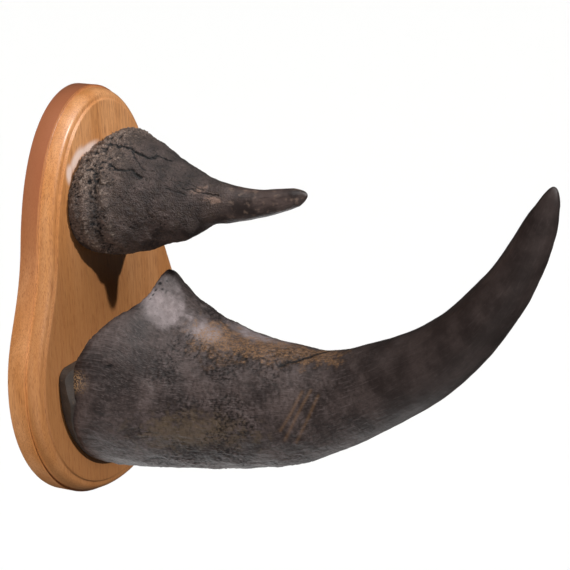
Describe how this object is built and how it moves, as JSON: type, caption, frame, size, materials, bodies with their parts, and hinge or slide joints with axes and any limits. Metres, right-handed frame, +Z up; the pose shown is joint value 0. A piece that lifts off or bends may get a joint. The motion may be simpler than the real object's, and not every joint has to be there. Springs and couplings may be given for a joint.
{
  "type": "rhinoceros horn trophy",
  "caption": "Wall trophy: a large upswept front horn on a dark block and a small rear horn above it, on a pear-shaped varnished wooden plaque.",
  "frame": {"origin": "on the flat back of the plaque, which lies on the wall, on the line of symmetry and in the height of the waist of its outline", "axes": "+Z up, +Y into the wall, so that the horns point along -Y, and +X to the right as seen from in front of the wall"},
  "size_m": [0.278, 0.4996, 0.412],
  "materials": {
    "varnished_wood": "honey-coloured hardwood with vertical grain under clear satin varnish",
    "dark_block": "smooth, painted dark grey",
    "front_horn_keratin": "dark grey-brown horn, dull and pitted at the base, smoother and faintly glossy towards the tip",
    "rear_horn_keratin": "dark brown horn, granular and cracked at the base, smooth at the tip"
  },
  "bodies": {
    "root": {"plaque": "varnished_wood", "base_block": "dark_block", "front_horn": "front_horn_keratin", "rear_horn": "rear_horn_keratin"}
  },
  "joints": []
}
